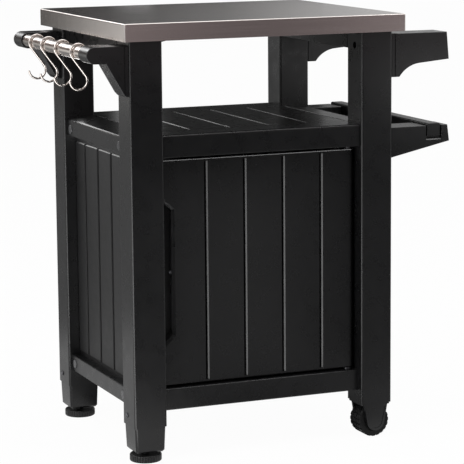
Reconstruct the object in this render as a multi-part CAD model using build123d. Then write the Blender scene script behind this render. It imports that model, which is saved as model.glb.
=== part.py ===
"""Grill table: resin cabinet on four legs, folded steel top, tool bar, roll holder and bag rail.

Millimetres, X to the right, Y to the back, Z up. The door faces -Y and the table stands on Z = 0.
Every piece is built about the middle of the four legs; at the end all of them move sideways together,
so that the origin lies under the middle of the whole object.
"""
import math
import os

from build123d import *

# How far a cutter runs past the face it cuts, and how deep two fused solids bite into each other
CUT = 1.0
BITE = 0.5

# Legs and overall height
TABLE_H = 900.0
SPAN_X = 580.0
SPAN_Y = 490.0
LEG = 70.0
LEG_WALL = 3.0
LEG_R = 4.0
LEG_BOTTOM = 75.0
OUT_X = SPAN_X / 2
OUT_Y = SPAN_Y / 2
IN_X = OUT_X - LEG
IN_Y = OUT_Y - LEG
LEG_X = OUT_X - LEG / 2
LEG_Y = OUT_Y - LEG / 2

# Steel top and the board inside it
TOP_X = 616.0
TOP_Y = 542.0
TOP_EDGE = 36.0
SHEET = 1.2
FOLD_R = 3.0
RETURN_W = 13.0
CORE_T = 10.0
CORE_GAP = 0.4
CORE_TOP = TABLE_H - SHEET
LEG_TOP = CORE_TOP - CORE_T

# Aprons and corner braces under the top
RAIL_SET = 8.0
APRON_WALL = 6.0
APRON_H = 62.8
BRACE_L = 42.0
BRACE_W = 40.0
BRACE_H = 31.3
BRACE_TIP = 23.0

# Deck
DECK_TOP = 672.0
DECK_T = 12.0
DECK_FALL = 5.5
DECK_EDGE_R = 5.0
DECK_PITCH = 88.0
DECK_GROOVE_W = 5.0
DECK_GROOVE_D = 2.5
DECK_GROOVE_END = 10.0
DECK_SEAM = 1.5
DECK_X = OUT_X - RAIL_SET
DECK_LOW = DECK_TOP - DECK_T

# Side rails
RAIL_UP_H = 29.0
RAIL_LOW_Z = (111.0, 146.0)
RAIL_R = 2.0
PANEL_SET = 25.0
PLANK_T = 4.0
SIDE_BOARD_T = 6.0
CAP_D = 20.0
CAP_T = 4.0
CAP_DOME = 1.8
CAP_SEAT = 2.0
CAP_END = 20.0
CAP_CLEAR = 0.15

# Planks on the side panels and the back
SIDE_PITCH = 83.0
SIDE_GROOVE = 4.0
PLANK_EDGE = 1.2
PLANK_MARGIN = 3.0
PLANK_Z = (155.0, 620.0)

# Front and rear rails
TOP_RAIL_SET = 8.0
TOP_RAIL_H = 46.5
TOP_RAIL_NOSE = 5.0
RAIL_WALL = 6.0
LOW_RAIL_SET = 18.0
LOW_RAIL_D = 37.0
LOW_RAIL_Z = (103.0, 148.0)
RAIL_END_R = 3.0
BOSS_D = 20.0
BOSS_LIFT = 8.0

# Floor, back and jambs
FLOOR_T = 10.0
FLOOR_MARGIN = 6.0
FLOOR_GROOVE_W = 3.0
FLOOR_GROOVE_D = 1.5
BACK_SET = 28.0
BACK_BOARD_T = 6.0
JAMB_W = 42.0
JAMB_T = 12.0

# Door
DOOR_SET = 28.0
DOOR_T = 24.0
DOOR_GAP = 2.5
DOOR_Z = (152.0, 618.5)
DOOR_EDGE_R = 3.0
DOOR_RIM_R = 3.5
DOOR_PITCH = 86.0
DOOR_SHIFT = 10.5
DOOR_GROOVE_W = 8.0
DOOR_GROOVE_FLOOR = 2.5
DOOR_GROOVE_D = 2.75
DOOR_GROOVE_END = 6.0
DOOR_SKIN = 9.0
DOOR_RIM = 24.0
DOOR_LATCH_RIM = 48.0
DOOR_RIB = 12.0
DOOR_POCKETS = 4

# Finger notch in the door's free edge
NOTCH_DEPTH = 24.5
NOTCH_Z = (258.0, 516.0)
NOTCH_BEVEL = 5.5
GRIP_T = 15.0
GRIP_W = 15.0
GRIP_END = 5.0
STUD_D = 7.0
STUD_OUT = 4.0
STUD_DOME = 1.3
STUD_SHANK_D = 3.5
STUD_IN = 8.0

# Door hinge and catch
PIN_D = 8.0
PIN_IN_DOOR = 17.0
PIN_IN_RAIL = 22.0
PIN_END_ROOM = 2.0
PIN_RUN = 0.05
PIN_SEAT = 0.02
COLLAR_D = 18.0
COLLAR_GAP = 0.3
CATCH_W = 30.0
CATCH_H = 24.0
CATCH_Z = 570.0
CATCH_GAP = 0.3
STRIKE_T = 2.0

# Feet and levellers on the left
FOOT_TOP = 66.0
FOOT_LOW = 62.0
FOOT_R = 5.0
FOOT_BOTTOM = 21.5
FOOT_CHAMFER = 4.0
PLUG_GAP = 0.3
PLUG_H = 32.0
DISC_D = 66.0
DISC_T = 15.0
DISC_R = 3.0
KNURL_N = 36
KNURL_R = 1.3
STEM_D = 16.0
STEM_TOP = 88.0
STEM_END_ROOM = 2.0
STEM_RUN = 0.08

# Wheels on the right
WHEEL_D = 70.0
WHEEL_W = 46.0
WHEEL_EDGE_R = 3.0
TREAD_D = 2.2
TREAD_SLOT = 4.0
TREAD_N = 20
TREAD_RING = 3.0
TREAD_RING_Y = 8.0
HUB_RECESS_D = 46.0
HUB_RECESS = 4.0
HUB_BOSS_D = 20.0
AXLE_D = 10.0
AXLE_RUN = 0.05
AXLE_SEAT = 0.02
AXLE_IN = 4.0
CHEEK_T = 7.0
CHEEK_TOP_W = 54.0
CHEEK_R = 20.0
CHEEK_SET = 2.0
CHEEK_RIM = 5.0
CHEEK_DISH = 1.2
HOUSING_PLATE = 4.0

# Screws in the leg bottoms
SCREW_Z = 95.0
SCREW_D = 6.0
SCREW_HEAD_D = 11.0
SCREW_HEAD_T = 2.5
SCREW_DOME = 1.9
SCREW_BACK = 12.0
SCREW_IN = 14.0
SCREW_CLEAR = 0.15

# Left tool bar
BAR_OUT = 71.0
BAR_DROP = 62.5
BAR_D = 28.0
BAR_WALL = 1.5
ARM_R = 17.0
BAR_BRACKET_Y = (190.0, 243.0)
BAR_BRACKET_H = 84.5
GUSSET_OUT = 48.0
GUSSET_LOW_OUT = 13.0
GUSSET_FOOT_OUT = 6.5
GUSSET_RISE = 7.0
BAR_SOCKET = 32.0
BAR_SEAT = 0.02
BRACKET_EDGE_R = 1.5

# Hooks
HOOK_Y = (-142.0, -40.5, 51.5, 131.0)
WIRE_D = 4.5
HOOK_CLEAR = 0.3
HOOK_DROP = 57.0
HOOK_SIDE = 10.0
HOOK_LOW_R = 18.2
HOOK_TIP_R = 1.6
HOOK_START = 5.0
HOOK_END = 172.0

# Right brackets
SIDE_BRACKET_Y = (176.0, 241.0)
FLANGE_W = 8.0
FLANGE_GROOVE_W = 2.0
FLANGE_GROOVE_D = 1.5
ROLL_DROP = 43.0
ROLL_TOP_FALL = 0.5
ROLL_REACH = 130.0
ROLL_REACH_LOW = 135.0
ROLL_END_H = 57.5
ROLL_H = 90.5
ROLL_FOOT_W = 19.5
ROLL_ARM = (66.0, 27.0)
ROLL_ROD_D = 24.0
ROLL_SPIGOT_D = 12.0
ROLL_SPIGOT = 13.0
ROLL_ROD_OUT = 85.0
ROLL_ROD_DROP = 31.0
ROLL_END_GAP = 0.6
ROLL_CHAMFER = 1.0
ROLL_SPIGOT_ROOM = 1.0
ROLL_RUN = 0.06
BAG_DROP = 11.0
BAG_REACH = 132.5
BAG_REACH_LOW = 137.0
BAG_END_H = 34.5
BAG_H = 63.5
BAG_BAR_W = 30.0
BAG_BAR_H = 28.0
BAG_BAR_OUT = 100.5
BAG_PROUD = 4.5
BAG_SIDE_GAP = 3.5
BAG_FLOOR_GAP = 0.3
BAG_END_SET = 1.0
BAG_CROWN_R = 3.5
BAG_EDGE_R = 2.0
BAG_END_R = 1.5
BAG_SILL_D = 6.0
BAG_SILL_DROP = 2.2
BAG_SILL_BEVEL = 4.5

# Bolts of the brackets and their access holes
BOLT_D = 8.0
BOLT_HEAD_D = 14.0
BOLT_HEAD_T = 5.0
BOLT_IN = 16.0
BOLT_TIP_ROOM = 0.5
BOLT_CLEAR = 0.1
BOLT_SEAT = 0.02
ROLL_BOLT_DROP = 23.0
BAR_BOLT_DROP = 37.5
BAG_BOLT_DROP = 31.0
ACCESS_D = 15.0

# Heights and planes that several pieces share
PANEL_OUT = OUT_X - PANEL_SET
BOARD_OUT = PANEL_OUT - PLANK_T
BOARD_IN = BOARD_OUT - SIDE_BOARD_T
RAIL_UP_LOW = DECK_LOW - RAIL_UP_H
RAIL_UP_MID = (DECK_LOW + RAIL_UP_LOW) / 2
RAIL_LOW_MID = sum(RAIL_LOW_Z) / 2
FLOOR_TOP = RAIL_LOW_Z[1]
TOP_RAIL_LOW = DECK_TOP - TOP_RAIL_H
LOW_RAIL_BACK = -OUT_Y + LOW_RAIL_SET + LOW_RAIL_D
DOOR_FRONT = -OUT_Y + DOOR_SET
DOOR_BACK = DOOR_FRONT + DOOR_T
DOOR_MID_Y = DOOR_FRONT + DOOR_T / 2
DOOR_X = IN_X - DOOR_GAP
HINGE_X = DOOR_X - DOOR_T / 2
HINGE_Y = DOOR_MID_Y
JAMB_FRONT = LOW_RAIL_BACK
STUD_Y = DOOR_FRONT + (NOTCH_BEVEL + GRIP_T) / 2
STUD_Z = sum(NOTCH_Z) / 2
BACK_OUT = OUT_Y - BACK_SET
WHEEL_Z = WHEEL_D / 2
BAR_X = -OUT_X - BAR_OUT
BAR_Z = TABLE_H - BAR_DROP
BAR_BRACKET_LOW = BAR_Z - BAR_BRACKET_H
BAR_BOLT_Z = BAR_Z - BAR_BOLT_DROP
ROLL_TOP = TABLE_H - ROLL_DROP
ROLL_FOOT_Z = ROLL_TOP - ROLL_H
ROLL_ROD_Z = ROLL_TOP - ROLL_ROD_DROP
ROLL_BOLT_Z = ROLL_TOP - ROLL_BOLT_DROP
BAG_TOP = DECK_TOP - BAG_DROP
BAG_CROWN = BAG_TOP + BAG_PROUD
BAG_BAR_LOW = BAG_CROWN - BAG_BAR_H
BAG_BOLT_Z = BAG_TOP - BAG_BOLT_DROP
HOOK_TOP_R = BAR_D / 2 + HOOK_CLEAR + WIRE_D / 2

pieces = {}


def block(x, y, z):
    """Box between three pairs of low and high values."""
    size = [abs(b - a) for a, b in (x, y, z)]
    mid = [(a + b) / 2 for a, b in (x, y, z)]
    return Pos(*mid) * Box(*size)


def rod(x, y, z, radius, axis):
    """Cylinder along one axis; that axis takes a pair, the other two a single value."""
    if axis == "X":
        return Pos(sum(x) / 2, y, z) * Rot(0, 90, 0) * Cylinder(radius, abs(x[1] - x[0]))
    if axis == "Y":
        return Pos(x, sum(y) / 2, z) * Rot(90, 0, 0) * Cylinder(radius, abs(y[1] - y[0]))
    return Pos(x, y, sum(z) / 2) * Cylinder(radius, abs(z[1] - z[0]))


def profile_xz(points, y):
    """Closed outline in X and Z, extruded between two Y values."""
    face = make_face(Polyline(*points, close=True))
    placed = Plane((0, max(y), 0), x_dir=(1, 0, 0), z_dir=(0, -1, 0)) * face
    return extrude(placed, amount=abs(y[1] - y[0]))


def prism_z(points, z):
    """Closed outline in X and Y, extruded between two Z values."""
    face = make_face(Polyline(*points, close=True))
    return extrude(Pos(0, 0, min(z)) * face, amount=abs(z[1] - z[0]))


def near(edges, axis, value, slack=0.05):
    """Edges whose middle lies at one value along an axis."""
    return edges.filter_by_position(axis, value - slack, value + slack)


def other_side(shape):
    """The same piece on the other side of the table."""
    return mirror(shape, about=Plane.YZ)


def other_end(shape):
    """The same piece at the other end, front to back."""
    return mirror(shape, about=Plane.XZ)


def fuse(shapes):
    """One solid out of several that touch or overlap."""
    shapes = list(shapes)
    return shapes[0].fuse(*shapes[1:]) if len(shapes) > 1 else shapes[0]


def group(shapes):
    """Several separate solids of the same kind, kept as one node."""
    return Compound(children=[s.solid() for s in shapes])


def steel_top():
    """Folded pan: top sheet, four skirts and a return flange."""
    low = TABLE_H - TOP_EDGE
    shell = block((-TOP_X / 2, TOP_X / 2), (-TOP_Y / 2, TOP_Y / 2), (low, TABLE_H))
    folds = shell.edges().filter_by(Axis.Z) + near(shell.edges(), Axis.Z, TABLE_H)
    shell = fillet(folds, FOLD_R)
    inner_x = TOP_X / 2 - SHEET
    inner_y = TOP_Y / 2 - SHEET
    room = block((-inner_x, inner_x), (-inner_y, inner_y), (low + SHEET, TABLE_H - SHEET))
    folds = room.edges().filter_by(Axis.Z) + near(room.edges(), Axis.Z, TABLE_H - SHEET)
    room = fillet(folds, FOLD_R - SHEET)
    mouth_x = TOP_X / 2 - RETURN_W
    mouth_y = TOP_Y / 2 - RETURN_W
    mouth = block((-mouth_x, mouth_x), (-mouth_y, mouth_y), (low - CUT, low + SHEET + CUT))
    return shell - room - mouth


def top_core():
    """Board that fills the upper part of the pan."""
    x = TOP_X / 2 - SHEET - CORE_GAP
    y = TOP_Y / 2 - SHEET - CORE_GAP
    board = block((-x, x), (-y, y), (LEG_TOP, CORE_TOP))
    folds = board.edges().filter_by(Axis.Z) + near(board.edges(), Axis.Z, CORE_TOP)
    return fillet(folds, FOLD_R - SHEET)


def leg(side, end, bolt_heights, access):
    """Hollow post with its holes; side and end are -1 or 1 along X and Y."""
    cx = side * LEG_X
    cy = end * LEG_Y
    tall = LEG_TOP - LEG_BOTTOM
    mid = (LEG_TOP + LEG_BOTTOM) / 2
    post = Pos(cx, cy, mid) * Box(LEG, LEG, tall)
    post = fillet(post.edges().filter_by(Axis.Z), LEG_R)
    hollow = Pos(cx, cy, mid) * Box(LEG - 2 * LEG_WALL, LEG - 2 * LEG_WALL, tall + 2 * CUT)
    hollow = fillet(hollow.edges().filter_by(Axis.Z), LEG_R - LEG_WALL / 2)
    post = post - hollow
    outside = (side * (OUT_X - LEG_WALL - CUT), side * (OUT_X + CUT))
    inside = (side * (IN_X - CUT), side * (IN_X + LEG_WALL + CUT))
    for z in bolt_heights:
        post = post - rod(outside, cy, z, BOLT_D / 2 + BOLT_CLEAR, "X")
    for z in access:
        post = post - rod(inside, cy, z, ACCESS_D / 2, "X")
    return post - rod(outside, cy + SCREW_BACK, SCREW_Z, SCREW_D / 2 + SCREW_CLEAR, "X")


def apron_left():
    """Channel between the legs under the core, as deep as the legs' inner faces, open at the top."""
    low = LEG_TOP - APRON_H
    beam = block((-DECK_X, -IN_X), (-IN_Y, IN_Y), (low, LEG_TOP))
    beam = fillet(near(beam.edges().filter_by(Axis.Y), Axis.Z, low), RAIL_R)
    room = block((-DECK_X + APRON_WALL, -IN_X - APRON_WALL), (-IN_Y - CUT, IN_Y + CUT),
                 (low + APRON_WALL, LEG_TOP + CUT))
    return beam - room


def corner_brace(side, end):
    """Wedge between a leg's inner face and the core."""
    root = side * IN_X
    tip = side * (IN_X - BRACE_L)
    points = [(root, LEG_TOP), (root, LEG_TOP - BRACE_H), (tip, LEG_TOP - BRACE_TIP), (tip, LEG_TOP)]
    return profile_xz(points, (end * LEG_Y - BRACE_W / 2, end * LEG_Y + BRACE_W / 2))


def deck():
    """Planked board with long edges that fall away to the rails."""
    rim = DECK_TOP - DECK_FALL
    points = [(-DECK_X, DECK_LOW), (-DECK_X, rim), (-IN_X, DECK_TOP),
              (IN_X, DECK_TOP), (DECK_X, rim), (DECK_X, DECK_LOW)]
    board = profile_xz(points, (-IN_Y, IN_Y))
    rims = near(board.edges().filter_by(Axis.Y), Axis.Z, rim)
    board = fillet(rims, DECK_EDGE_R)
    for i in range(-2, 4):
        x = (i - 0.5) * DECK_PITCH
        flare = DECK_GROOVE_W / 2 / DECK_GROOVE_D
        wide = DECK_GROOVE_W / 2 + flare * CUT
        groove = [(x - wide, DECK_TOP + CUT), (x + wide, DECK_TOP + CUT), (x, DECK_TOP - DECK_GROOVE_D)]
        board = board - profile_xz(groove, (-IN_Y + DECK_GROOVE_END, IN_Y - DECK_GROOVE_END))
    seam = block((-IN_X, IN_X), (-IN_Y - CUT, -IN_Y + DECK_SEAM), (DECK_TOP - DECK_SEAM, DECK_TOP + CUT))
    return board - seam


def cap_places():
    """Y and Z of the round caps on one side."""
    return [(end * (IN_Y - CAP_END), z) for end in (-1, 1) for z in (RAIL_UP_MID, RAIL_LOW_MID)]


def cap_seats(board):
    for y, z in cap_places():
        seat = rod((-DECK_X - CUT, -DECK_X + CAP_SEAT), y, z, CAP_D / 2 + CAP_CLEAR, "X")
        board = board - seat
    return board


def side_rail_upper_left():
    bar = block((-DECK_X, -BOARD_OUT), (-IN_Y, IN_Y), (RAIL_UP_LOW, DECK_LOW))
    lower = near(near(bar.edges().filter_by(Axis.Y), Axis.Z, RAIL_UP_LOW), Axis.X, -DECK_X)
    return cap_seats(fillet(lower, RAIL_R))


def side_rail_lower_left():
    bar = block((-DECK_X, -BOARD_IN), (-IN_Y, IN_Y), RAIL_LOW_Z)
    outer = near(bar.edges().filter_by(Axis.Y), Axis.X, -DECK_X)
    return cap_seats(fillet(outer, RAIL_R))


def rail_cap(y, z):
    """Round domed cap, seen at both ends of each side rail."""
    cap = rod((-DECK_X - CAP_T + CAP_SEAT, -DECK_X + CAP_SEAT), y, z, CAP_D / 2, "X")
    crown = near(cap.edges().filter_by(GeomType.CIRCLE), Axis.X, -DECK_X - CAP_T + CAP_SEAT)
    return fillet(crown, CAP_DOME)


def planks(lows, highs, z, thick):
    """Raised planks as boxes in X and Z, lying on Y = 0 and facing -Y."""
    result = []
    for lo, hi in zip(lows, highs):
        plank = block((lo, hi), (-thick, BITE), z)
        front = near(plank.edges(), Axis.Y, -thick)
        result.append(chamfer(front, PLANK_EDGE))
    return result


def plank_spans(half, pitch, count, gap):
    """Low and high ends of planks split by evenly spaced grooves about the middle."""
    cuts = [(i - (count - 1) / 2) * pitch for i in range(count)]
    lows = [-half] + [c + gap / 2 for c in cuts]
    highs = [c - gap / 2 for c in cuts] + [half]
    return lows, highs


def side_panel_left():
    """Cabinet wall: flat board with raised planks on its outer face."""
    board = block((-BOARD_OUT, -BOARD_IN), (-IN_Y, IN_Y), (FLOOR_TOP, DECK_LOW))
    lows, highs = plank_spans(IN_Y - PLANK_MARGIN, SIDE_PITCH, 4, SIDE_GROOVE)
    outer = [Pos(-BOARD_OUT, 0, 0) * Rot(0, 0, -90) * p for p in planks(lows, highs, PLANK_Z, PLANK_T)]
    return fuse([board] + outer)


def back_panel():
    """Rear wall, planked like the sides, running up into the rear rail."""
    face = BACK_OUT - PLANK_T
    top = DECK_TOP - RAIL_WALL
    board = block((-IN_X, IN_X), (face - BACK_BOARD_T, face), (LOW_RAIL_Z[1], top))
    lows, highs = plank_spans(IN_X - PLANK_MARGIN, DOOR_PITCH, 4, SIDE_GROOVE)
    span = (PLANK_Z[0], TOP_RAIL_LOW - PLANK_MARGIN)
    outer = [Pos(0, face, 0) * Rot(0, 0, 180) * p for p in planks(lows, highs, span, PLANK_T)]
    return fuse([board] + outer)


def floor_panel():
    """Floor board let in between the legs, with a shallow groove about the field that stores stand on."""
    low = FLOOR_TOP - FLOOR_T
    wide = block((-BOARD_IN, BOARD_IN), (-IN_Y, IN_Y), (low, FLOOR_TOP))
    deep = block((-IN_X, IN_X), (LOW_RAIL_BACK, -LOW_RAIL_BACK), (low, FLOOR_TOP))
    depth = (FLOOR_TOP - FLOOR_GROOVE_D, FLOOR_TOP + CUT)
    x = BOARD_IN - FLOOR_MARGIN
    y = IN_Y - FLOOR_MARGIN
    field = block((-x, x), (-y, y), depth)
    x = x - FLOOR_GROOVE_W
    y = y - FLOOR_GROOVE_W
    field = field - block((-x, x), (-y, y), depth)
    return fuse([wide, deep]) - field


def top_rail(with_boss):
    """Channel under the deck's front edge, open below, with a rounded nose."""
    front = -OUT_Y + TOP_RAIL_SET
    bar = block((-IN_X, IN_X), (front, -IN_Y), (TOP_RAIL_LOW, DECK_TOP))
    room = block((-IN_X - CUT, IN_X + CUT), (front + RAIL_WALL, -IN_Y - RAIL_WALL),
                 (TOP_RAIL_LOW - CUT, DECK_TOP - RAIL_WALL))
    nose = near(near(bar.edges().filter_by(Axis.X), Axis.Y, front), Axis.Z, DECK_TOP)
    bar = fillet(nose, TOP_RAIL_NOSE)
    lip = near(near(bar.edges().filter_by(Axis.X), Axis.Y, front), Axis.Z, TOP_RAIL_LOW)
    bar = fillet(lip, RAIL_R) - room
    if with_boss:
        boss = rod(HINGE_X, HINGE_Y, (TOP_RAIL_LOW, DECK_TOP - RAIL_WALL + BITE), BOSS_D / 2, "Z")
        deep = (TOP_RAIL_LOW - CUT, TOP_RAIL_LOW + PIN_IN_RAIL)
        hole = rod(HINGE_X, HINGE_Y, deep, PIN_D / 2 + PIN_SEAT, "Z")
        bar = fuse([bar, boss]) - hole
    return bar


def bottom_rail(with_boss):
    """Channel under the door, open below."""
    front = -OUT_Y + LOW_RAIL_SET
    bar = block((-IN_X, IN_X), (front, LOW_RAIL_BACK), LOW_RAIL_Z)
    outer = near(bar.edges().filter_by(Axis.X), Axis.Y, front)
    bar = fillet(outer, RAIL_END_R)
    room = block((-IN_X - CUT, IN_X + CUT), (front + RAIL_WALL, LOW_RAIL_BACK - RAIL_WALL),
                 (LOW_RAIL_Z[0] - CUT, LOW_RAIL_Z[1] - RAIL_WALL))
    bar = bar - room
    if with_boss:
        span = (LOW_RAIL_Z[0] + BOSS_LIFT, LOW_RAIL_Z[1] - RAIL_WALL + BITE)
        boss = rod(HINGE_X, HINGE_Y, span, BOSS_D / 2, "Z")
        deep = (LOW_RAIL_Z[1] - PIN_IN_RAIL, LOW_RAIL_Z[1] + CUT)
        hole = rod(HINGE_X, HINGE_Y, deep, PIN_D / 2 + PIN_SEAT, "Z")
        bar = fuse([bar, boss]) - hole
    return bar


def jamb_left():
    strip = block((-IN_X, -IN_X + JAMB_W), (JAMB_FRONT, JAMB_FRONT + JAMB_T), (FLOOR_TOP, TOP_RAIL_LOW))
    stop = near(near(strip.edges().filter_by(Axis.Z), Axis.X, -IN_X + JAMB_W), Axis.Y, JAMB_FRONT)
    return fillet(stop, RAIL_R)


def magnet_catch():
    mid = -IN_X + JAMB_W / 2
    return block((mid - CATCH_W / 2, mid + CATCH_W / 2), (DOOR_BACK + CATCH_GAP, JAMB_FRONT),
                 (CATCH_Z - CATCH_H / 2, CATCH_Z + CATCH_H / 2))


def door_strike():
    """Steel plate let into the door's back, facing the magnet."""
    mid = -IN_X + JAMB_W / 2
    return block((mid - CATCH_W / 2, mid + CATCH_W / 2), (DOOR_BACK - STRIKE_T, DOOR_BACK),
                 (CATCH_Z - CATCH_H / 2, CATCH_Z + CATCH_H / 2))


def hinge_pin_upper():
    return rod(HINGE_X, HINGE_Y, (DOOR_Z[1] - PIN_IN_DOOR, TOP_RAIL_LOW + PIN_IN_RAIL), PIN_D / 2, "Z")


def hinge_pin_lower():
    """Pin with a collar that carries the door."""
    pin = rod(HINGE_X, HINGE_Y, (LOW_RAIL_Z[1] - PIN_IN_RAIL, DOOR_Z[0] + PIN_IN_DOOR), PIN_D / 2, "Z")
    collar = rod(HINGE_X, HINGE_Y, (LOW_RAIL_Z[1], DOOR_Z[0] - COLLAR_GAP), COLLAR_D / 2, "Z")
    return fuse([pin, collar])


def notch_face(grow, y):
    """Outline of the finger notch at one depth, its sides moved out by grow."""
    wall = -DOOR_X + NOTCH_DEPTH + grow
    edge = -DOOR_X - DOOR_EDGE_R
    run = wall - edge
    turn = grow * math.tan(math.radians(22.5))
    low = NOTCH_Z[0] - turn
    high = NOTCH_Z[1] + turn
    outline = Polyline((edge, low - run), (wall, low), (wall, high), (edge, high + run), close=True)
    return Plane((0, y, 0), x_dir=(1, 0, 0), z_dir=(0, -1, 0)) * make_face(outline)


def door():
    """Planked door: round hinge edge, finger notch in the free edge, pockets behind."""
    outline = block((-DOOR_X, HINGE_X), (DOOR_FRONT, DOOR_BACK), DOOR_Z)
    outline = fillet(near(outline.edges().filter_by(Axis.Z), Axis.X, -DOOR_X), DOOR_EDGE_R)
    slab = fuse([outline, rod(HINGE_X, HINGE_Y, DOOR_Z, DOOR_T / 2, "Z")])
    rims = near(slab.edges(), Axis.Z, DOOR_Z[1]) + near(slab.edges(), Axis.Z, DOOR_Z[0])
    slab = fillet(rims, DOOR_RIM_R)
    wall = -DOOR_X + NOTCH_DEPTH
    slab = slab - extrude(notch_face(0, DOOR_BACK + CUT), amount=DOOR_T + 2 * CUT)
    slab = slab - loft([notch_face(NOTCH_BEVEL, DOOR_FRONT), notch_face(0, DOOR_FRONT + NOTCH_BEVEL)])
    grip = block((wall - CUT, wall + GRIP_W), (DOOR_FRONT + GRIP_T, DOOR_BACK + CUT),
                 (NOTCH_Z[0] + GRIP_END, NOTCH_Z[1] - GRIP_END))
    slab = slab - grip
    for i in range(4):
        x = (i - 1.5) * DOOR_PITCH + DOOR_SHIFT
        flare = (DOOR_GROOVE_W - DOOR_GROOVE_FLOOR) / 2 / DOOR_GROOVE_D
        wide = DOOR_GROOVE_W / 2 + flare * CUT
        slot = [(x - wide, DOOR_FRONT - CUT), (x + wide, DOOR_FRONT - CUT),
                (x + DOOR_GROOVE_FLOOR / 2, DOOR_FRONT + DOOR_GROOVE_D),
                (x - DOOR_GROOVE_FLOOR / 2, DOOR_FRONT + DOOR_GROOVE_D)]
        slab = slab - prism_z(slot, (DOOR_Z[0] + DOOR_GROOVE_END, DOOR_Z[1] - DOOR_GROOVE_END))
    low = DOOR_Z[0] + DOOR_RIM
    high = DOOR_Z[1] - DOOR_RIM
    tall = (high - low - (DOOR_POCKETS - 1) * DOOR_RIB) / DOOR_POCKETS
    for i in range(DOOR_POCKETS):
        z = low + i * (tall + DOOR_RIB)
        pocket = block((-DOOR_X + DOOR_LATCH_RIM, HINGE_X - DOOR_RIM),
                       (DOOR_FRONT + DOOR_SKIN, DOOR_BACK + CUT), (z, z + tall))
        pocket = fillet(pocket.edges().filter_by(Axis.Y), DOOR_EDGE_R)
        slab = slab - pocket
    bore = PIN_D / 2 + PIN_RUN
    deep = PIN_IN_DOOR + PIN_END_ROOM
    slab = slab - rod(HINGE_X, HINGE_Y, (DOOR_Z[1] - deep, DOOR_Z[1] + CUT), bore, "Z")
    slab = slab - rod(HINGE_X, HINGE_Y, (DOOR_Z[0] - CUT, DOOR_Z[0] + deep), bore, "Z")
    slab = slab - rod((wall - CUT, wall + STUD_IN), STUD_Y, STUD_Z, STUD_SHANK_D / 2 + BOLT_SEAT, "X")
    return slab - door_strike()


def door_stud():
    """Round button on the wall of the notch."""
    wall = -DOOR_X + NOTCH_DEPTH
    head = rod((wall - STUD_OUT, wall), STUD_Y, STUD_Z, STUD_D / 2, "X")
    head = fillet(near(head.edges().filter_by(GeomType.CIRCLE), Axis.X, wall - STUD_OUT), STUD_DOME)
    shank = rod((wall - BITE, wall + STUD_IN), STUD_Y, STUD_Z, STUD_SHANK_D / 2, "X")
    return fuse([head, shank])


def plug(side, end):
    """Square plug inside a leg's lower end, with the hole for its screw."""
    cx = side * LEG_X
    cy = end * LEG_Y
    wide = LEG - 2 * LEG_WALL - 2 * PLUG_GAP
    body = block((cx - wide / 2, cx + wide / 2), (cy - wide / 2, cy + wide / 2),
                 (LEG_BOTTOM - BITE, LEG_BOTTOM + PLUG_H))
    body = fillet(body.edges().filter_by(Axis.Z), LEG_R - LEG_WALL / 2)
    deep = (side * (OUT_X + CUT), side * (OUT_X - LEG_WALL - SCREW_IN))
    return body - rod(deep, cy + SCREW_BACK, SCREW_Z, SCREW_D / 2 + BOLT_SEAT, "X")


def foot_left(end):
    """Tapered block below a left leg, bored for the leveller's stem."""
    cx = -LEG_X
    cy = end * LEG_Y
    upper = Pos(cx, cy, LEG_BOTTOM) * RectangleRounded(FOOT_TOP, FOOT_TOP, FOOT_R)
    lower = Pos(cx, cy, FOOT_BOTTOM) * RectangleRounded(FOOT_LOW, FOOT_LOW, FOOT_R)
    body = loft([lower, upper])
    body = chamfer(near(body.edges(), Axis.Z, FOOT_BOTTOM), FOOT_CHAMFER)
    body = fuse([body, plug(-1, end)])
    return body - rod(cx, cy, (FOOT_BOTTOM - CUT, STEM_TOP + STEM_END_ROOM), STEM_D / 2 + STEM_RUN, "Z")


def leveller(end):
    """Knurled disc on a stem that turns in the foot block."""
    cx = -LEG_X
    cy = end * LEG_Y
    disc = rod(cx, cy, (0, DISC_T), DISC_D / 2, "Z")
    disc = fillet(disc.edges().filter_by(GeomType.CIRCLE), DISC_R)
    for i in range(KNURL_N):
        a = 2 * math.pi * i / KNURL_N
        rim_x = cx + DISC_D / 2 * math.cos(a)
        rim_y = cy + DISC_D / 2 * math.sin(a)
        disc = disc - rod(rim_x, rim_y, (-CUT, DISC_T + CUT), KNURL_R, "Z")
    stem = rod(cx, cy, (DISC_T - BITE, STEM_TOP), STEM_D / 2, "Z")
    return fuse([disc, stem])


def cheek_plate(top_w, top_z, radius, y):
    """Plate that tapers from its top down to a round about the axle."""
    dx = top_w / 2
    dz = top_z - WHEEL_Z
    reach = math.hypot(dx, dz)
    turn = math.atan2(dz, dx) - math.acos(radius / reach)
    tx = radius * math.cos(turn)
    tz = radius * math.sin(turn)
    points = [(LEG_X - dx, top_z), (LEG_X - tx, WHEEL_Z + tz), (LEG_X, WHEEL_Z),
              (LEG_X + tx, WHEEL_Z + tz), (LEG_X + dx, top_z)]
    return fuse([profile_xz(points, y), rod(LEG_X, y, WHEEL_Z, radius, "Y")])


def cheek(end, outer):
    """Tapered plate beside a wheel, with a shallow dish in its outer face."""
    far = end * LEG_Y + outer * (LEG / 2 - CHEEK_SET)
    under = LEG_BOTTOM - HOUSING_PLATE
    plate = cheek_plate(CHEEK_TOP_W, under + HOUSING_PLATE / 2, CHEEK_R, (far, far - outer * CHEEK_T))
    dish = cheek_plate(CHEEK_TOP_W - 2 * CHEEK_RIM, under - CHEEK_RIM, CHEEK_R - CHEEK_RIM,
                       (far + outer * CUT, far - outer * CHEEK_DISH))
    return plate - dish


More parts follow.
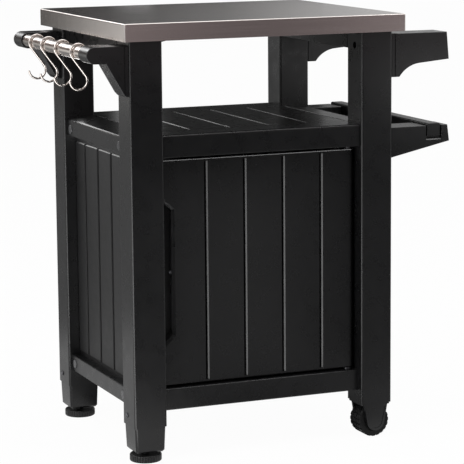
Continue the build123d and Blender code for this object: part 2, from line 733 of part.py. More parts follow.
def housing_right(end):
    """Wheel housing: plug, top plate and two cheeks with blind axle holes."""
    cx = LEG_X
    cy = end * LEG_Y
    plate = Pos(cx, cy, LEG_BOTTOM - HOUSING_PLATE) * RectangleRounded(FOOT_TOP, FOOT_TOP, FOOT_R)
    plate = extrude(plate, amount=HOUSING_PLATE)
    body = fuse([plate, plug(1, end), cheek(end, -1), cheek(end, 1)])
    inner = LEG / 2 - CHEEK_SET - CHEEK_T
    span = (cy - inner - AXLE_IN, cy + inner + AXLE_IN)
    return body - rod(cx, span, WHEEL_Z, AXLE_D / 2 + AXLE_SEAT, "Y")


def axle(end):
    half = LEG / 2 - CHEEK_SET - CHEEK_T + AXLE_IN
    return rod(LEG_X, (end * LEG_Y - half, end * LEG_Y + half), WHEEL_Z, AXLE_D / 2, "Y")


def wheel(end):
    """Wheel with a block tread, recessed faces and a hub."""
    cy = end * LEG_Y
    half = WHEEL_W / 2
    body = rod(LEG_X, (cy - half, cy + half), WHEEL_Z, WHEEL_D / 2, "Y")
    body = fillet(body.edges().filter_by(GeomType.CIRCLE), WHEEL_EDGE_R)
    for s in (-1, 1):
        y = (cy + s * TREAD_RING_Y - TREAD_RING / 2, cy + s * TREAD_RING_Y + TREAD_RING / 2)
        ring = rod(LEG_X, y, WHEEL_Z, WHEEL_D / 2 + CUT, "Y")
        body = body - (ring - rod(LEG_X, y, WHEEL_Z, WHEEL_D / 2 - TREAD_D, "Y"))
    for i in range(TREAD_N):
        slot = block((WHEEL_D / 2 - TREAD_D, WHEEL_D / 2 + CUT), (-half - CUT, half + CUT),
                     (-TREAD_SLOT / 2, TREAD_SLOT / 2))
        body = body - Pos(LEG_X, cy, WHEEL_Z) * Rot(0, 360 * (i + 0.5) / TREAD_N, 0) * slot
    for s in (-1, 1):
        y = (cy + s * (half - HUB_RECESS), cy + s * (half + CUT))
        dish = rod(LEG_X, y, WHEEL_Z, HUB_RECESS_D / 2, "Y") - rod(LEG_X, y, WHEEL_Z, HUB_BOSS_D / 2, "Y")
        body = body - dish
    return body - rod(LEG_X, (cy - half - CUT, cy + half + CUT), WHEEL_Z, AXLE_D / 2 + AXLE_RUN, "Y")


def leg_screw(side, end):
    """Pan-head screw through a leg's outer wall into the plug."""
    face = side * OUT_X
    cy = end * LEG_Y + SCREW_BACK
    crown = face + side * SCREW_HEAD_T
    head = rod((face, crown), cy, SCREW_Z, SCREW_HEAD_D / 2, "X")
    head = fillet(near(head.edges().filter_by(GeomType.CIRCLE), Axis.X, crown), SCREW_DOME)
    shank = rod((face + side * BITE, face - side * (LEG_WALL + SCREW_IN)), cy, SCREW_Z, SCREW_D / 2, "X")
    return fuse([head, shank])


def soft_faces(shape, y):
    """Small rounds on the outline edges of a bracket's two flat faces."""
    edges = near(shape.edges(), Axis.Y, y[0]) + near(shape.edges(), Axis.Y, y[1])
    return fillet(edges, BRACKET_EDGE_R)


def bar_bracket_front():
    """Arm with a round end about the bar and a sloping gusset on the leg."""
    y = (-BAR_BRACKET_Y[1], -BAR_BRACKET_Y[0])
    face = -OUT_X
    points = [(face, BAR_BRACKET_LOW), (face, BAR_Z + ARM_R), (BAR_X, BAR_Z + ARM_R),
              (BAR_X, BAR_Z - ARM_R),
              (face - GUSSET_OUT, BAR_Z - ARM_R), (face - GUSSET_LOW_OUT, BAR_BRACKET_LOW + GUSSET_RISE),
              (face - GUSSET_FOOT_OUT, BAR_BRACKET_LOW)]
    body = fuse([profile_xz(points, y), rod(BAR_X, y, BAR_Z, ARM_R, "Y")])
    body = soft_faces(body, y)
    groove = (face - FLANGE_W, face - FLANGE_W - FLANGE_GROOVE_W)
    body = body - block(groove, (y[0] - CUT, y[0] + FLANGE_GROOVE_D),
                        (BAR_BRACKET_LOW - CUT, BAR_Z + ARM_R + CUT))
    socket = (y[1] - BAR_SOCKET, y[1] + CUT)
    body = body - rod(BAR_X, socket, BAR_Z, BAR_D / 2 + BAR_SEAT, "Y")
    return body - rod((face - BOLT_IN, face + CUT), -LEG_Y, BAR_BOLT_Z, BOLT_D / 2 + BOLT_SEAT, "X")


def tool_bar():
    half = BAR_BRACKET_Y[0] + BAR_SOCKET
    tube = rod(BAR_X, (-half, half), BAR_Z, BAR_D / 2, "Y")
    return tube - rod(BAR_X, (-half - CUT, half + CUT), BAR_Z, BAR_D / 2 - BAR_WALL, "Y")


def hook(y):
    """Wire hook: upper loop about the bar, slanted shank, lower loop; turned until it hangs in balance."""
    span = math.hypot(HOOK_DROP, HOOK_SIDE)
    to_low = math.degrees(math.atan2(-HOOK_DROP, -HOOK_SIDE)) + 360
    leave = to_low - math.degrees(math.acos((HOOK_TOP_R + HOOK_LOW_R) / span))
    upper = CenterArc((0, 0), HOOK_TOP_R, HOOK_START, leave - HOOK_START)
    lower = CenterArc((-HOOK_SIDE, -HOOK_DROP), HOOK_LOW_R, leave - 180, HOOK_END - 360 - (leave - 180))
    shank = Line(upper @ 1, lower @ 0)
    path = Wire([Plane.XZ * line.edge() for line in (upper, shank, lower)])
    section = Plane(origin=path @ 0, z_dir=path % 0) * Circle(WIRE_D / 2)
    wire = sweep(section, path=path)
    rings = wire.edges().filter_by(GeomType.CIRCLE)
    tips = rings.sort_by(Axis.Z)[-1:] + rings.sort_by(Axis.X)[:1]
    wire = fillet(tips, HOOK_TIP_R)
    mass = wire.center(CenterOf.MASS)
    tilt = math.degrees(math.atan2(mass.X, -mass.Z))
    return Pos(BAR_X, y, BAR_Z) * Rot(0, tilt, 0) * wire


def roll_bracket_front():
    """Deep bracket with a sweeping underside and a blind socket for the rod."""
    y = (-SIDE_BRACKET_Y[1], -SIDE_BRACKET_Y[0])
    face = OUT_X
    foot = (face + ROLL_FOOT_W, ROLL_FOOT_Z)
    arm = (face + ROLL_ARM[0], ROLL_FOOT_Z + ROLL_ARM[1])
    tip = (face + ROLL_REACH_LOW, ROLL_TOP - ROLL_END_H)
    rest = Polyline(arm, tip, (face + ROLL_REACH, ROLL_TOP - ROLL_TOP_FALL),
                    (face, ROLL_TOP), (face, ROLL_FOOT_Z), foot)
    sweep = TangentArc(arm, foot, tangent=(arm[0] - tip[0], arm[1] - tip[1]))
    outline = make_face(sweep + rest)
    back = Plane((0, y[1], 0), x_dir=(1, 0, 0), z_dir=(0, -1, 0))
    body = extrude(back * outline, amount=y[1] - y[0])
    body = soft_faces(body, y)
    groove = (face + FLANGE_W, face + FLANGE_W + FLANGE_GROOVE_W)
    body = body - block(groove, (y[0] - CUT, y[0] + FLANGE_GROOVE_D), (ROLL_FOOT_Z - CUT, ROLL_TOP + CUT))
    body = body - block(groove, (y[0] - CUT, y[1] + CUT), (ROLL_TOP - FLANGE_GROOVE_D, ROLL_TOP + CUT))
    socket = (y[1] - ROLL_SPIGOT - ROLL_SPIGOT_ROOM, y[1] + CUT)
    body = body - rod(face + ROLL_ROD_OUT, socket, ROLL_ROD_Z, ROLL_SPIGOT_D / 2 + ROLL_RUN, "Y")
    return body - rod((face - CUT, face + BOLT_IN), -LEG_Y, ROLL_BOLT_Z, BOLT_D / 2 + BOLT_SEAT, "X")


def roll_rod():
    """Rod for a paper roll, with a spigot at each end."""
    x = OUT_X + ROLL_ROD_OUT
    half = SIDE_BRACKET_Y[0] - ROLL_END_GAP
    core = rod(x, (-half, half), ROLL_ROD_Z, ROLL_ROD_D / 2, "Y")
    core = chamfer(core.edges().filter_by(GeomType.CIRCLE), ROLL_CHAMFER)
    far = SIDE_BRACKET_Y[0] + ROLL_SPIGOT
    pin = rod(x, (-far, far), ROLL_ROD_Z, ROLL_SPIGOT_D / 2, "Y")
    return fuse([core, pin])


def bag_bracket_front():
    """Wedge bracket, flat on top, with a notch for the bag bar and a bevelled sill in front of it."""
    y = (-SIDE_BRACKET_Y[1], -SIDE_BRACKET_Y[0])
    face = OUT_X
    points = [(face, BAG_TOP - BAG_H), (face + BAG_REACH_LOW, BAG_TOP - BAG_END_H),
              (face + BAG_REACH, BAG_TOP), (face, BAG_TOP)]
    body = profile_xz(points, y)
    room = BAG_BAR_W / 2 + BAG_SIDE_GAP
    mid = face + BAG_BAR_OUT
    floor = BAG_BAR_LOW - BAG_FLOOR_GAP
    body = body - block((mid - room, mid + room), (y[0] - CUT, y[1] + CUT), (floor, BAG_TOP + CUT))
    body = soft_faces(body, y)
    low = floor - BAG_SILL_DROP
    sill = Polyline((y[0] - CUT, floor + CUT), (y[0] + BAG_SILL_D, floor + CUT), (y[0] + BAG_SILL_D, low),
                    (y[0] + BAG_SILL_BEVEL, low), (y[0] - CUT, low - BAG_SILL_BEVEL - CUT), close=True)
    side = Plane((mid - room, 0, 0), x_dir=(0, 1, 0), z_dir=(1, 0, 0))
    body = body - extrude(side * make_face(sill), amount=2 * room)
    return body - rod((face - CUT, face + BOLT_IN), -LEG_Y, BAG_BOLT_Z, BOLT_D / 2 + BOLT_SEAT, "X")


def bag_bar():
    """Square bar that drops into the notches from above, its crown a little proud of them."""
    mid = OUT_X + BAG_BAR_OUT
    half = SIDE_BRACKET_Y[1] - BAG_END_SET
    bar = block((mid - BAG_BAR_W / 2, mid + BAG_BAR_W / 2), (-half, half), (BAG_BAR_LOW, BAG_CROWN))
    bar = fillet(near(bar.edges().filter_by(Axis.Y), Axis.Z, BAG_CROWN), BAG_CROWN_R)
    bar = fillet(near(bar.edges().filter_by(Axis.Y), Axis.Z, BAG_BAR_LOW), BAG_EDGE_R)
    return fillet(near(bar.edges(), Axis.Y, -half) + near(bar.edges(), Axis.Y, half), BAG_END_R)


def bracket_bolt(side, end, z):
    """Bolt with its head inside the leg and its shank in the bracket."""
    wall = side * (OUT_X - LEG_WALL)
    cy = end * LEG_Y
    head = rod((wall - side * BOLT_HEAD_T, wall), cy, z, BOLT_HEAD_D / 2, "X")
    tip = side * (OUT_X + BOLT_IN - BOLT_TIP_ROOM)
    shank = rod((wall - side * BITE, tip), cy, z, BOLT_D / 2, "X")
    return fuse([head, shank])


def build():
    """All pieces by name, about the middle of the legs."""
    pieces["steel_top"] = steel_top()
    pieces["top_core"] = top_core()
    left_bolts = [BAR_BOLT_Z]
    right_bolts = [ROLL_BOLT_Z, BAG_BOLT_Z]
    pieces["leg_front_left"] = leg(-1, -1, left_bolts, left_bolts)
    pieces["leg_rear_left"] = leg(-1, 1, left_bolts, left_bolts)
    pieces["leg_front_right"] = leg(1, -1, right_bolts, [ROLL_BOLT_Z])
    pieces["leg_rear_right"] = leg(1, 1, right_bolts, [ROLL_BOLT_Z])
    pieces["apron_left"] = apron_left()
    pieces["apron_right"] = other_side(pieces["apron_left"])
    pieces["corner_braces"] = group([corner_brace(s, e) for s in (-1, 1) for e in (-1, 1)])
    pieces["deck"] = deck()
    pieces["front_top_rail"] = top_rail(True)
    pieces["rear_top_rail"] = other_end(top_rail(False))
    pieces["front_bottom_rail"] = bottom_rail(True)
    pieces["rear_bottom_rail"] = other_end(bottom_rail(False))
    pieces["side_rail_upper_left"] = side_rail_upper_left()
    pieces["side_rail_upper_right"] = other_side(pieces["side_rail_upper_left"])
    pieces["side_rail_lower_left"] = side_rail_lower_left()
    pieces["side_rail_lower_right"] = other_side(pieces["side_rail_lower_left"])
    caps = [rail_cap(y, z) for y, z in cap_places()]
    pieces["rail_caps"] = group(caps + [other_side(c) for c in caps])
    pieces["side_panel_left"] = side_panel_left()
    pieces["side_panel_right"] = other_side(pieces["side_panel_left"])
    pieces["back_panel"] = back_panel()
    pieces["floor_panel"] = floor_panel()
    pieces["jamb_left"] = jamb_left()
    pieces["jamb_right"] = other_side(pieces["jamb_left"])
    pieces["magnet_catch"] = magnet_catch()
    pieces["hinge_pin_upper"] = hinge_pin_upper()
    pieces["hinge_pin_lower"] = hinge_pin_lower()
    pieces["door"] = door()
    pieces["door_stud"] = door_stud()
    pieces["door_strike"] = door_strike()
    for end, name in ((-1, "front"), (1, "rear")):
        pieces["foot_" + name + "_left"] = foot_left(end)
        pieces["leveller_" + name] = leveller(end)
        pieces["housing_" + name + "_right"] = housing_right(end)
        pieces["axle_" + name] = axle(end)
        pieces["wheel_" + name] = wheel(end)
    pieces["leg_screws"] = group([leg_screw(s, e) for s in (-1, 1) for e in (-1, 1)])
    pieces["bar_bracket_front"] = bar_bracket_front()
    pieces["bar_bracket_rear"] = other_end(pieces["bar_bracket_front"])
    pieces["tool_bar"] = tool_bar()
    for i, y in enumerate(HOOK_Y):
        pieces["hook_" + str(i + 1)] = hook(y)
    pieces["roll_bracket_front"] = roll_bracket_front()
    pieces["roll_bracket_rear"] = other_end(pieces["roll_bracket_front"])
    pieces["roll_rod"] = roll_rod()
    pieces["bag_bracket_front"] = bag_bracket_front()
    pieces["bag_bracket_rear"] = other_end(pieces["bag_bracket_front"])
    pieces["bag_bar"] = bag_bar()
    bolts = [bracket_bolt(-1, e, BAR_BOLT_Z) for e in (-1, 1)]
    bolts += [bracket_bolt(1, e, z) for e in (-1, 1) for z in right_bolts]
    pieces["bracket_bolts"] = group(bolts)


def main():
    os.makedirs("parts", exist_ok=True)
    build()
    boxes = [shape.bounding_box() for shape in pieces.values()]
    left = min(box.min.X for box in boxes)
    right = max(box.max.X for box in boxes)
    shift = -(left + right) / 2
    print("left %.3f right %.3f, sideways shift of every piece %.4f mm" % (left, right, shift))
    for name, shape in pieces.items():
        export_step(Pos(shift, 0, 0) * shape, "parts/" + name + ".step")


main()
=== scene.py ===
"""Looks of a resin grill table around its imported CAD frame: finishes, small hardware, light and camera."""
import math

import bmesh
import bpy
from mathutils import Matrix, Vector

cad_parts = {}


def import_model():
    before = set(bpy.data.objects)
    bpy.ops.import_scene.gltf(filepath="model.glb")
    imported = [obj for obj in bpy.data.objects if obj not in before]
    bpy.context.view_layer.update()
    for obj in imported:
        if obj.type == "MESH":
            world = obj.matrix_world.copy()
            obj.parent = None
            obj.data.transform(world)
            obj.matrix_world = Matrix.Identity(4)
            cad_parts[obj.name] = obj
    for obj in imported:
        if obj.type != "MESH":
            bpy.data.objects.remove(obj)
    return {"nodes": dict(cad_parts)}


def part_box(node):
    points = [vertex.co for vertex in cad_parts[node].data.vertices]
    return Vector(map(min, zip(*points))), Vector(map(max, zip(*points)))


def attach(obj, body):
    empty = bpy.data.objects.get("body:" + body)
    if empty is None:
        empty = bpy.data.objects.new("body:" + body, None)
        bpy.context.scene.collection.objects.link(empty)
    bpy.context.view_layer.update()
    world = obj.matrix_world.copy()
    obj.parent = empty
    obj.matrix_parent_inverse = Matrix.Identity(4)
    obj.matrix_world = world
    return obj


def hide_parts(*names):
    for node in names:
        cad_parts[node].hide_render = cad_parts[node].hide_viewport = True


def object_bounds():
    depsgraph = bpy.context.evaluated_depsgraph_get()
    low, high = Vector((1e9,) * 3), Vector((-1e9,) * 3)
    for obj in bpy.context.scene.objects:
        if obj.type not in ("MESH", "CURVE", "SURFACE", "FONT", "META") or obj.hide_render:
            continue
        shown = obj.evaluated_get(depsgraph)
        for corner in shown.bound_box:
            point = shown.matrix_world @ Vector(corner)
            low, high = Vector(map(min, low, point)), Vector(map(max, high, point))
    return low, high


bl_info = {
    "name": "Grill table looks",
    "version": (1, 0, 0),
    "blender": (4, 5, 0),
    "location": "3D View > Sidebar > Grill table",
    "description": "Finishes, hardware and studio for a resin grill table with a folded steel top",
    "category": "Object",
}

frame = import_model()
NODES = frame["nodes"]
CAD_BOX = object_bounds()

MM = 0.001
FLOOR_Z = CAD_BOX[0].z
# Middle of the four legs, which the camera was fitted about
LEGS_X = (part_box("leg_front_left")[0].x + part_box("leg_front_right")[1].x) / 2

LEG_NODES = ("leg_front_left", "leg_front_right", "leg_rear_left", "leg_rear_right")
APRON_NODES = ("apron_left", "apron_right")
RAIL_NODES = ("front_top_rail", "rear_top_rail", "front_bottom_rail", "rear_bottom_rail",
              "side_rail_upper_left", "side_rail_upper_right",
              "side_rail_lower_left", "side_rail_lower_right")
PANEL_NODES = ("back_panel", "floor_panel")
BRACKET_NODES = ("bar_bracket_front", "bar_bracket_rear", "roll_bracket_front", "roll_bracket_rear",
                 "bag_bracket_front", "bag_bracket_rear")
FOOT_NODES = ("foot_front_left", "foot_rear_left", "housing_front_right", "housing_rear_right")
HOOK_NODES = ("hook_1", "hook_2", "hook_3", "hook_4")


def linear(hex_text):
    """sRGB hex text to a linear RGB triple."""
    channels = [int(hex_text[i:i + 2], 16) / 255 for i in (1, 3, 5)]
    return tuple(c / 12.92 if c <= 0.04045 else ((c + 0.055) / 1.055) ** 2.4 for c in channels)


def rgba(colour, share=1.0):
    """Opaque colour for a node's socket, darkened to a share of its brightness."""
    return (colour[0] * share, colour[1] * share, colour[2] * share, 1.0)


class GrillTableSettings(bpy.types.PropertyGroup):
    """Sizes and colours that a user of the table would change."""

    resin: bpy.props.FloatVectorProperty(
        name="Resin", description="Graphite polypropylene of the cabinet", subtype="COLOR", size=3,
        min=0, max=1, default=linear("#121213"))
    resin_light: bpy.props.FloatVectorProperty(
        name="Resin, pale", description="Palest tone in the resin's mottling", subtype="COLOR", size=3,
        min=0, max=1, default=linear("#161617"))
    # Painted shade: darker resin for pieces that lie inside or below
    dark_resin: bpy.props.FloatVectorProperty(
        name="Inner resin", description="Darker resin of the braces, stops and levellers", subtype="COLOR",
        size=3, min=0, max=1, default=linear("#0d0d0e"))
    cap: bpy.props.FloatVectorProperty(
        name="Caps", description="Round caps over the rails' screws", subtype="COLOR", size=3,
        min=0, max=1, default=linear("#3e3e40"))
    steel: bpy.props.FloatVectorProperty(
        name="Top steel", description="Brushed stainless sheet of the top", subtype="COLOR", size=3,
        min=0, max=1, default=linear("#b3adaa"))
    bright: bpy.props.FloatVectorProperty(
        name="Bright steel", description="Polished tube and hooks", subtype="COLOR", size=3,
        min=0, max=1, default=linear("#c6bfba"))
    # The wheel's own black, set darker still as painted shade for the shade the wheel sits in
    tyre: bpy.props.FloatVectorProperty(
        name="Wheel", description="Moulded wheel", subtype="COLOR", size=3,
        min=0, max=1, default=linear("#0e0e0e"))
    zinc: bpy.props.FloatVectorProperty(
        name="Screws", description="Dark plated screws and pins", subtype="COLOR", size=3,
        min=0, max=1, default=linear("#5d5d60"))
    edge: bpy.props.FloatProperty(
        name="Edge round", description="Soft edge of the braces and door stops", unit="LENGTH",
        min=0, max=0.005, default=1.8 * MM)
    plank: bpy.props.FloatProperty(
        name="Plank rise", description="How far the side walls' planks stand out", unit="LENGTH",
        min=0.002, max=0.006, default=4 * MM)
    plank_pitch: bpy.props.FloatProperty(
        name="Plank pitch", description="Distance between the side walls' grooves", unit="LENGTH",
        min=0.06, max=0.085, default=83 * MM)
    groove: bpy.props.FloatProperty(
        name="Side groove", description="Width of the side walls' grooves", unit="LENGTH",
        min=0.003, max=0.015, default=11 * MM)
    grain: bpy.props.FloatProperty(
        name="Moulded grain", description="Size of the mould's fine texture", unit="LENGTH",
        min=0.0005, max=0.01, default=1.6 * MM)
    brush: bpy.props.FloatProperty(
        name="Brush lines", description="Spacing of the brushed lines as drawn", unit="LENGTH",
        min=0.0002, max=0.01, default=1.1 * MM)


def settings():
    """The table's settings in the open scene."""
    return bpy.context.scene.grill_table


# Sockets of a Mix node that mixes colours
MIX_SHARE = 0
MIX_FIRST = 6
MIX_SECOND = 7
MIX_RESULT = 2

# Nearly all values of a noise pattern lie between these
NOISE_LOW = 0.3
NOISE_HIGH = 0.7

# Lowest and highest roughness of each surface
SATIN = (0.25, 0.33)
MATT_WALL = (0.42, 0.50)
MATT_INNER = (0.40, 0.50)
DULL_WHEEL = (0.52, 0.64)
GLOSSY_CAP = (0.16, 0.24)
BRUSHED = (0.15, 0.24)
BUFFED = (0.12, 0.22)
PLATED = (0.30, 0.42)

# Moulded resin: flow marks, cloudy gloss, shallow sink marks and fine grain
RESIN_IOR = 1.49
RESIN_GLOSS = 0.4
WHEEL_GLOSS = 0.2
CAP_GLOSS = 0.5
FLOW_SIZE = 140 * MM
CLOUD_SIZE = 30 * MM
SINK_SIZE = 220 * MM
SINK_DEPTH = 4 * MM
GRAIN_DEPTH = 0.3 * MM

# Painted shade in the door's grooves, found by their depth behind its front; faces turned left or up are lit
# and stay as they are
GROOVE_START = 0.4 * MM
GROOVE_FULL = 1.0 * MM
GROOVE_END = 3.4 * MM
TURNED_LEFT = -0.4
TURNED_UP = 0.2
GROOVE_SHADE_TONE = 0.3

# Steel: length and depth of the brushed lines, size of the buffing swirls, darkest share of the colour
BRUSH_LENGTH = 200 * MM
BRUSH_DEPTH = 0.2 * MM
BRUSH_TONE = 0.9
TURNED_TO_END = 0.7
SWIRL_SIZE = 12 * MM
SWIRL_TONE = 0.93


def add(tree, kind, links=None, **values):
    """Adds a node with its settings; links maps an input to a socket or a value."""
    node = tree.nodes.new(kind)
    for name, value in values.items():
        setattr(node, name, value)
    for name, value in (links or {}).items():
        if isinstance(value, bpy.types.NodeSocket):
            tree.links.new(value, node.inputs[name])
        else:
            node.inputs[name].default_value = value
    return node


def bare_material(name):
    """Material with an empty node tree."""
    material = bpy.data.materials.new(name)
    material.use_nodes = True
    material.node_tree.nodes.clear()
    return material, material.node_tree


def new_material(name):
    """Node material with a Principled shader on its output."""
    material, tree = bare_material(name)
    shader = add(tree, "ShaderNodeBsdfPrincipled")
    add(tree, "ShaderNodeOutputMaterial", {"Surface": shader.outputs["BSDF"]})
    return material, tree, shader


def groove_shade_share(tree, front):
    """Where the painted shade goes: 1 on the floor and shaded wall of grooves sunk behind a front face, 0
    elsewhere.
    """
    coord = add(tree, "ShaderNodeTexCoord")
    place = add(tree, "ShaderNodeSeparateXYZ", {0: coord.outputs["Object"]})
    facing = add(tree, "ShaderNodeSeparateXYZ", {0: coord.outputs["Normal"]})
    sunk = add(tree, "ShaderNodeMapRange", {"Value": place.outputs["Y"], "From Min": front + GROOVE_START,
                                            "From Max": front + GROOVE_FULL})
    near = add(tree, "ShaderNodeMath", {0: place.outputs["Y"], 1: front + GROOVE_END}, operation="LESS_THAN")
    wall = add(tree, "ShaderNodeMath", {0: facing.outputs["X"], 1: TURNED_LEFT}, operation="GREATER_THAN")
    rim = add(tree, "ShaderNodeMath", {0: facing.outputs["Z"], 1: TURNED_UP}, operation="LESS_THAN")
    deep = add(tree, "ShaderNodeMath", {0: sunk.outputs["Result"], 1: near.outputs[0]}, operation="MULTIPLY")
    side = add(tree, "ShaderNodeMath", {0: wall.outputs[0], 1: rim.outputs[0]}, operation="MULTIPLY")
    groove = add(tree, "ShaderNodeMath", {0: deep.outputs[0], 1: side.outputs[0]}, operation="MULTIPLY")
    return groove.outputs[0]


def moulded_resin(name, dark, pale, rough, gloss=RESIN_GLOSS, front=None):
    """Injection-moulded polypropylene: satin, nearly black, faint flow mottling and a fine mould grain,
    so flat faces stay dark and only edges and grazing faces catch the light. Grooves behind a front
    face get painted shade, a darker colour and no gloss, and read as black lines."""
    material, tree, shader = new_material(name)
    place = add(tree, "ShaderNodeTexCoord").outputs["Object"]
    flow = add(tree, "ShaderNodeTexNoise",
               {"Vector": place, "Scale": 1 / FLOW_SIZE, "Detail": 3.0, "Roughness": 0.55})
    share = add(tree, "ShaderNodeMapRange",
                {"Value": flow.outputs["Fac"], "From Min": 0.35, "From Max": 0.68})
    tone = add(tree, "ShaderNodeMix", {MIX_SHARE: share.outputs["Result"], MIX_FIRST: rgba(dark),
                                       MIX_SECOND: rgba(pale)}, data_type="RGBA")
    cloud = add(tree, "ShaderNodeTexNoise", {"Vector": place, "Scale": 1 / CLOUD_SIZE, "Detail": 4.0})
    haze = add(tree, "ShaderNodeMapRange",
               {"Value": cloud.outputs["Fac"], "From Min": NOISE_LOW, "From Max": NOISE_HIGH,
                "To Min": rough[0], "To Max": rough[1]})
    tree.links.new(haze.outputs["Result"], shader.inputs["Roughness"])
    # The real grain is about 0.2 mm; it is drawn coarser so that it shows.
    grit = add(tree, "ShaderNodeTexNoise", {"Vector": place, "Scale": 1 / settings().grain, "Detail": 2.0})
    sink = add(tree, "ShaderNodeTexNoise", {"Vector": place, "Scale": 1 / SINK_SIZE, "Detail": 1.0})
    broad = add(tree, "ShaderNodeBump",
                {"Height": sink.outputs["Fac"], "Strength": 0.25, "Distance": SINK_DEPTH})
    fine = add(tree, "ShaderNodeBump", {"Height": grit.outputs["Fac"], "Strength": 0.04,
                                        "Distance": GRAIN_DEPTH, "Normal": broad.outputs["Normal"]})
    tree.links.new(fine.outputs["Normal"], shader.inputs["Normal"])
    shader.inputs["IOR"].default_value = RESIN_IOR
    shader.inputs["Specular IOR Level"].default_value = gloss
    if front is not None:
        # Painted shade: the grooves get a darker colour and lose their gloss
        groove = groove_shade_share(tree, front)
        sheen = add(tree, "ShaderNodeMapRange", {"Value": groove, "To Min": gloss, "To Max": 0.0})
        tree.links.new(sheen.outputs["Result"], shader.inputs["Specular IOR Level"])
        tone = add(tree, "ShaderNodeMix", {MIX_SHARE: groove, MIX_FIRST: tone.outputs[MIX_RESULT],
                                           MIX_SECOND: rgba(dark, GROOVE_SHADE_TONE)}, data_type="RGBA")
    tree.links.new(tone.outputs[MIX_RESULT], shader.inputs["Base Color"])
    return material


def brushed_steel(name):
    """Stainless sheet brushed along its length: the lines run on over the folds and smear reflections
    across them."""
    s = settings()
    material, tree, shader = new_material(name)
    place = add(tree, "ShaderNodeSeparateXYZ", {0: add(tree, "ShaderNodeTexCoord").outputs["Object"]})
    facing = add(tree, "ShaderNodeSeparateXYZ", {0: add(tree, "ShaderNodeNewGeometry").outputs["Normal"]})
    side = add(tree, "ShaderNodeMath", {0: facing.outputs["X"]}, operation="ABSOLUTE")
    end = add(tree, "ShaderNodeMath", {0: side.outputs[0], 1: TURNED_TO_END}, operation="GREATER_THAN")
    down = add(tree, "ShaderNodeMath", {0: place.outputs["Y"], 1: place.outputs["Z"]}, operation="ADD")
    along = add(tree, "ShaderNodeMix",
                {"Factor": end.outputs[0], "A": place.outputs["X"], "B": place.outputs["Z"]})
    across = add(tree, "ShaderNodeMix",
                 {"Factor": end.outputs[0], "A": down.outputs[0], "B": place.outputs["Y"]})
    unfolded = add(tree, "ShaderNodeCombineXYZ", {"X": along.outputs[0], "Y": across.outputs[0]})
    stretch = add(tree, "ShaderNodeMapping",
                  {"Vector": unfolded.outputs[0], "Scale": (1 / BRUSH_LENGTH, 1 / s.brush, 1)})
    streak = add(tree, "ShaderNodeTexNoise",
                 {"Vector": stretch.outputs["Vector"], "Scale": 1.0, "Detail": 3.0})
    share = add(tree, "ShaderNodeMapRange",
                {"Value": streak.outputs["Fac"], "From Min": NOISE_LOW, "From Max": NOISE_HIGH})
    tone = add(tree, "ShaderNodeMix",
               {MIX_SHARE: share.outputs["Result"], MIX_FIRST: rgba(s.steel, BRUSH_TONE),
                MIX_SECOND: rgba(s.steel)}, data_type="RGBA")
    tree.links.new(tone.outputs[MIX_RESULT], shader.inputs["Base Color"])
    haze = add(tree, "ShaderNodeMapRange",
               {"Value": streak.outputs["Fac"], "From Min": NOISE_LOW, "From Max": NOISE_HIGH,
                "To Min": BRUSHED[0], "To Max": BRUSHED[1]})
    tree.links.new(haze.outputs["Result"], shader.inputs["Roughness"])
    bump = add(tree, "ShaderNodeBump",
               {"Height": streak.outputs["Fac"], "Strength": 0.12, "Distance": BRUSH_DEPTH})
    tree.links.new(bump.outputs["Normal"], shader.inputs["Normal"])
    shader.inputs["Metallic"].default_value = 1.0
    return material


def polished_steel(name, colour, rough):
    """Plated and buffed steel: near-mirror, with faint swirls from the buffing wheel."""
    material, tree, shader = new_material(name)
    place = add(tree, "ShaderNodeTexCoord").outputs["Object"]
    swirl = add(tree, "ShaderNodeTexNoise", {"Vector": place, "Scale": 1 / SWIRL_SIZE, "Detail": 4.0})
    haze = add(tree, "ShaderNodeMapRange",
               {"Value": swirl.outputs["Fac"], "From Min": NOISE_LOW, "From Max": NOISE_HIGH,
                "To Min": rough[0], "To Max": rough[1]})
    tree.links.new(haze.outputs["Result"], shader.inputs["Roughness"])
    share = add(tree, "ShaderNodeMapRange",
                {"Value": swirl.outputs["Fac"], "From Min": NOISE_LOW, "From Max": NOISE_HIGH})
    tone = add(tree, "ShaderNodeMix",
               {MIX_SHARE: share.outputs["Result"], MIX_FIRST: rgba(colour, SWIRL_TONE),
                MIX_SECOND: rgba(colour)}, data_type="RGBA")
    tree.links.new(tone.outputs[MIX_RESULT], shader.inputs["Base Color"])
    shader.inputs["Metallic"].default_value = 1.0
    return material


def finish(name, maker, *args):
    """A finish is made once and then shared."""
    return bpy.data.materials.get(name) or maker(name, *args)


def resin():
    """Satin resin of the legs, rails, deck and brackets."""
    s = settings()
    return finish("Moulded polypropylene, graphite", moulded_resin, s.resin, s.resin_light, SATIN)


def door_resin():
    """The same resin with painted shade in the grooves, their depth counted from the door's front."""
    s = settings()
    front = min(v.co.y for v in NODES["door"].data.vertices)
    return finish("Moulded polypropylene, grooved door", moulded_resin, s.resin, s.resin_light, SATIN,
                  RESIN_GLOSS, front)


def wall_resin():
    """Duller resin of the side walls' planks."""
    s = settings()
    return finish("Moulded polypropylene, matt wall", moulded_resin, s.resin, s.resin_light, MATT_WALL)


def shade_darkened_resin():
    """Darker copy of the resin, painted shade on pieces that lie inside or below."""
    s = settings()
    return finish("Moulded polypropylene, dark", moulded_resin, s.dark_resin, s.resin, MATT_INNER)


def wheel_resin():
    """Dull hard resin of the wheels."""
    s = settings()
    return finish("Moulded polyethylene, wheel", moulded_resin, s.tyre, s.resin, DULL_WHEEL, WHEEL_GLOSS)


def cap_resin():
    """Paler, glossy resin of the screw caps."""
    s = settings()
    return finish("Moulded polypropylene, glossy cap", moulded_resin, s.cap, s.cap, GLOSSY_CAP, CAP_GLOSS)


def top_steel():
    """Sheet of the table's top."""
    return finish("Brushed stainless steel", brushed_steel)


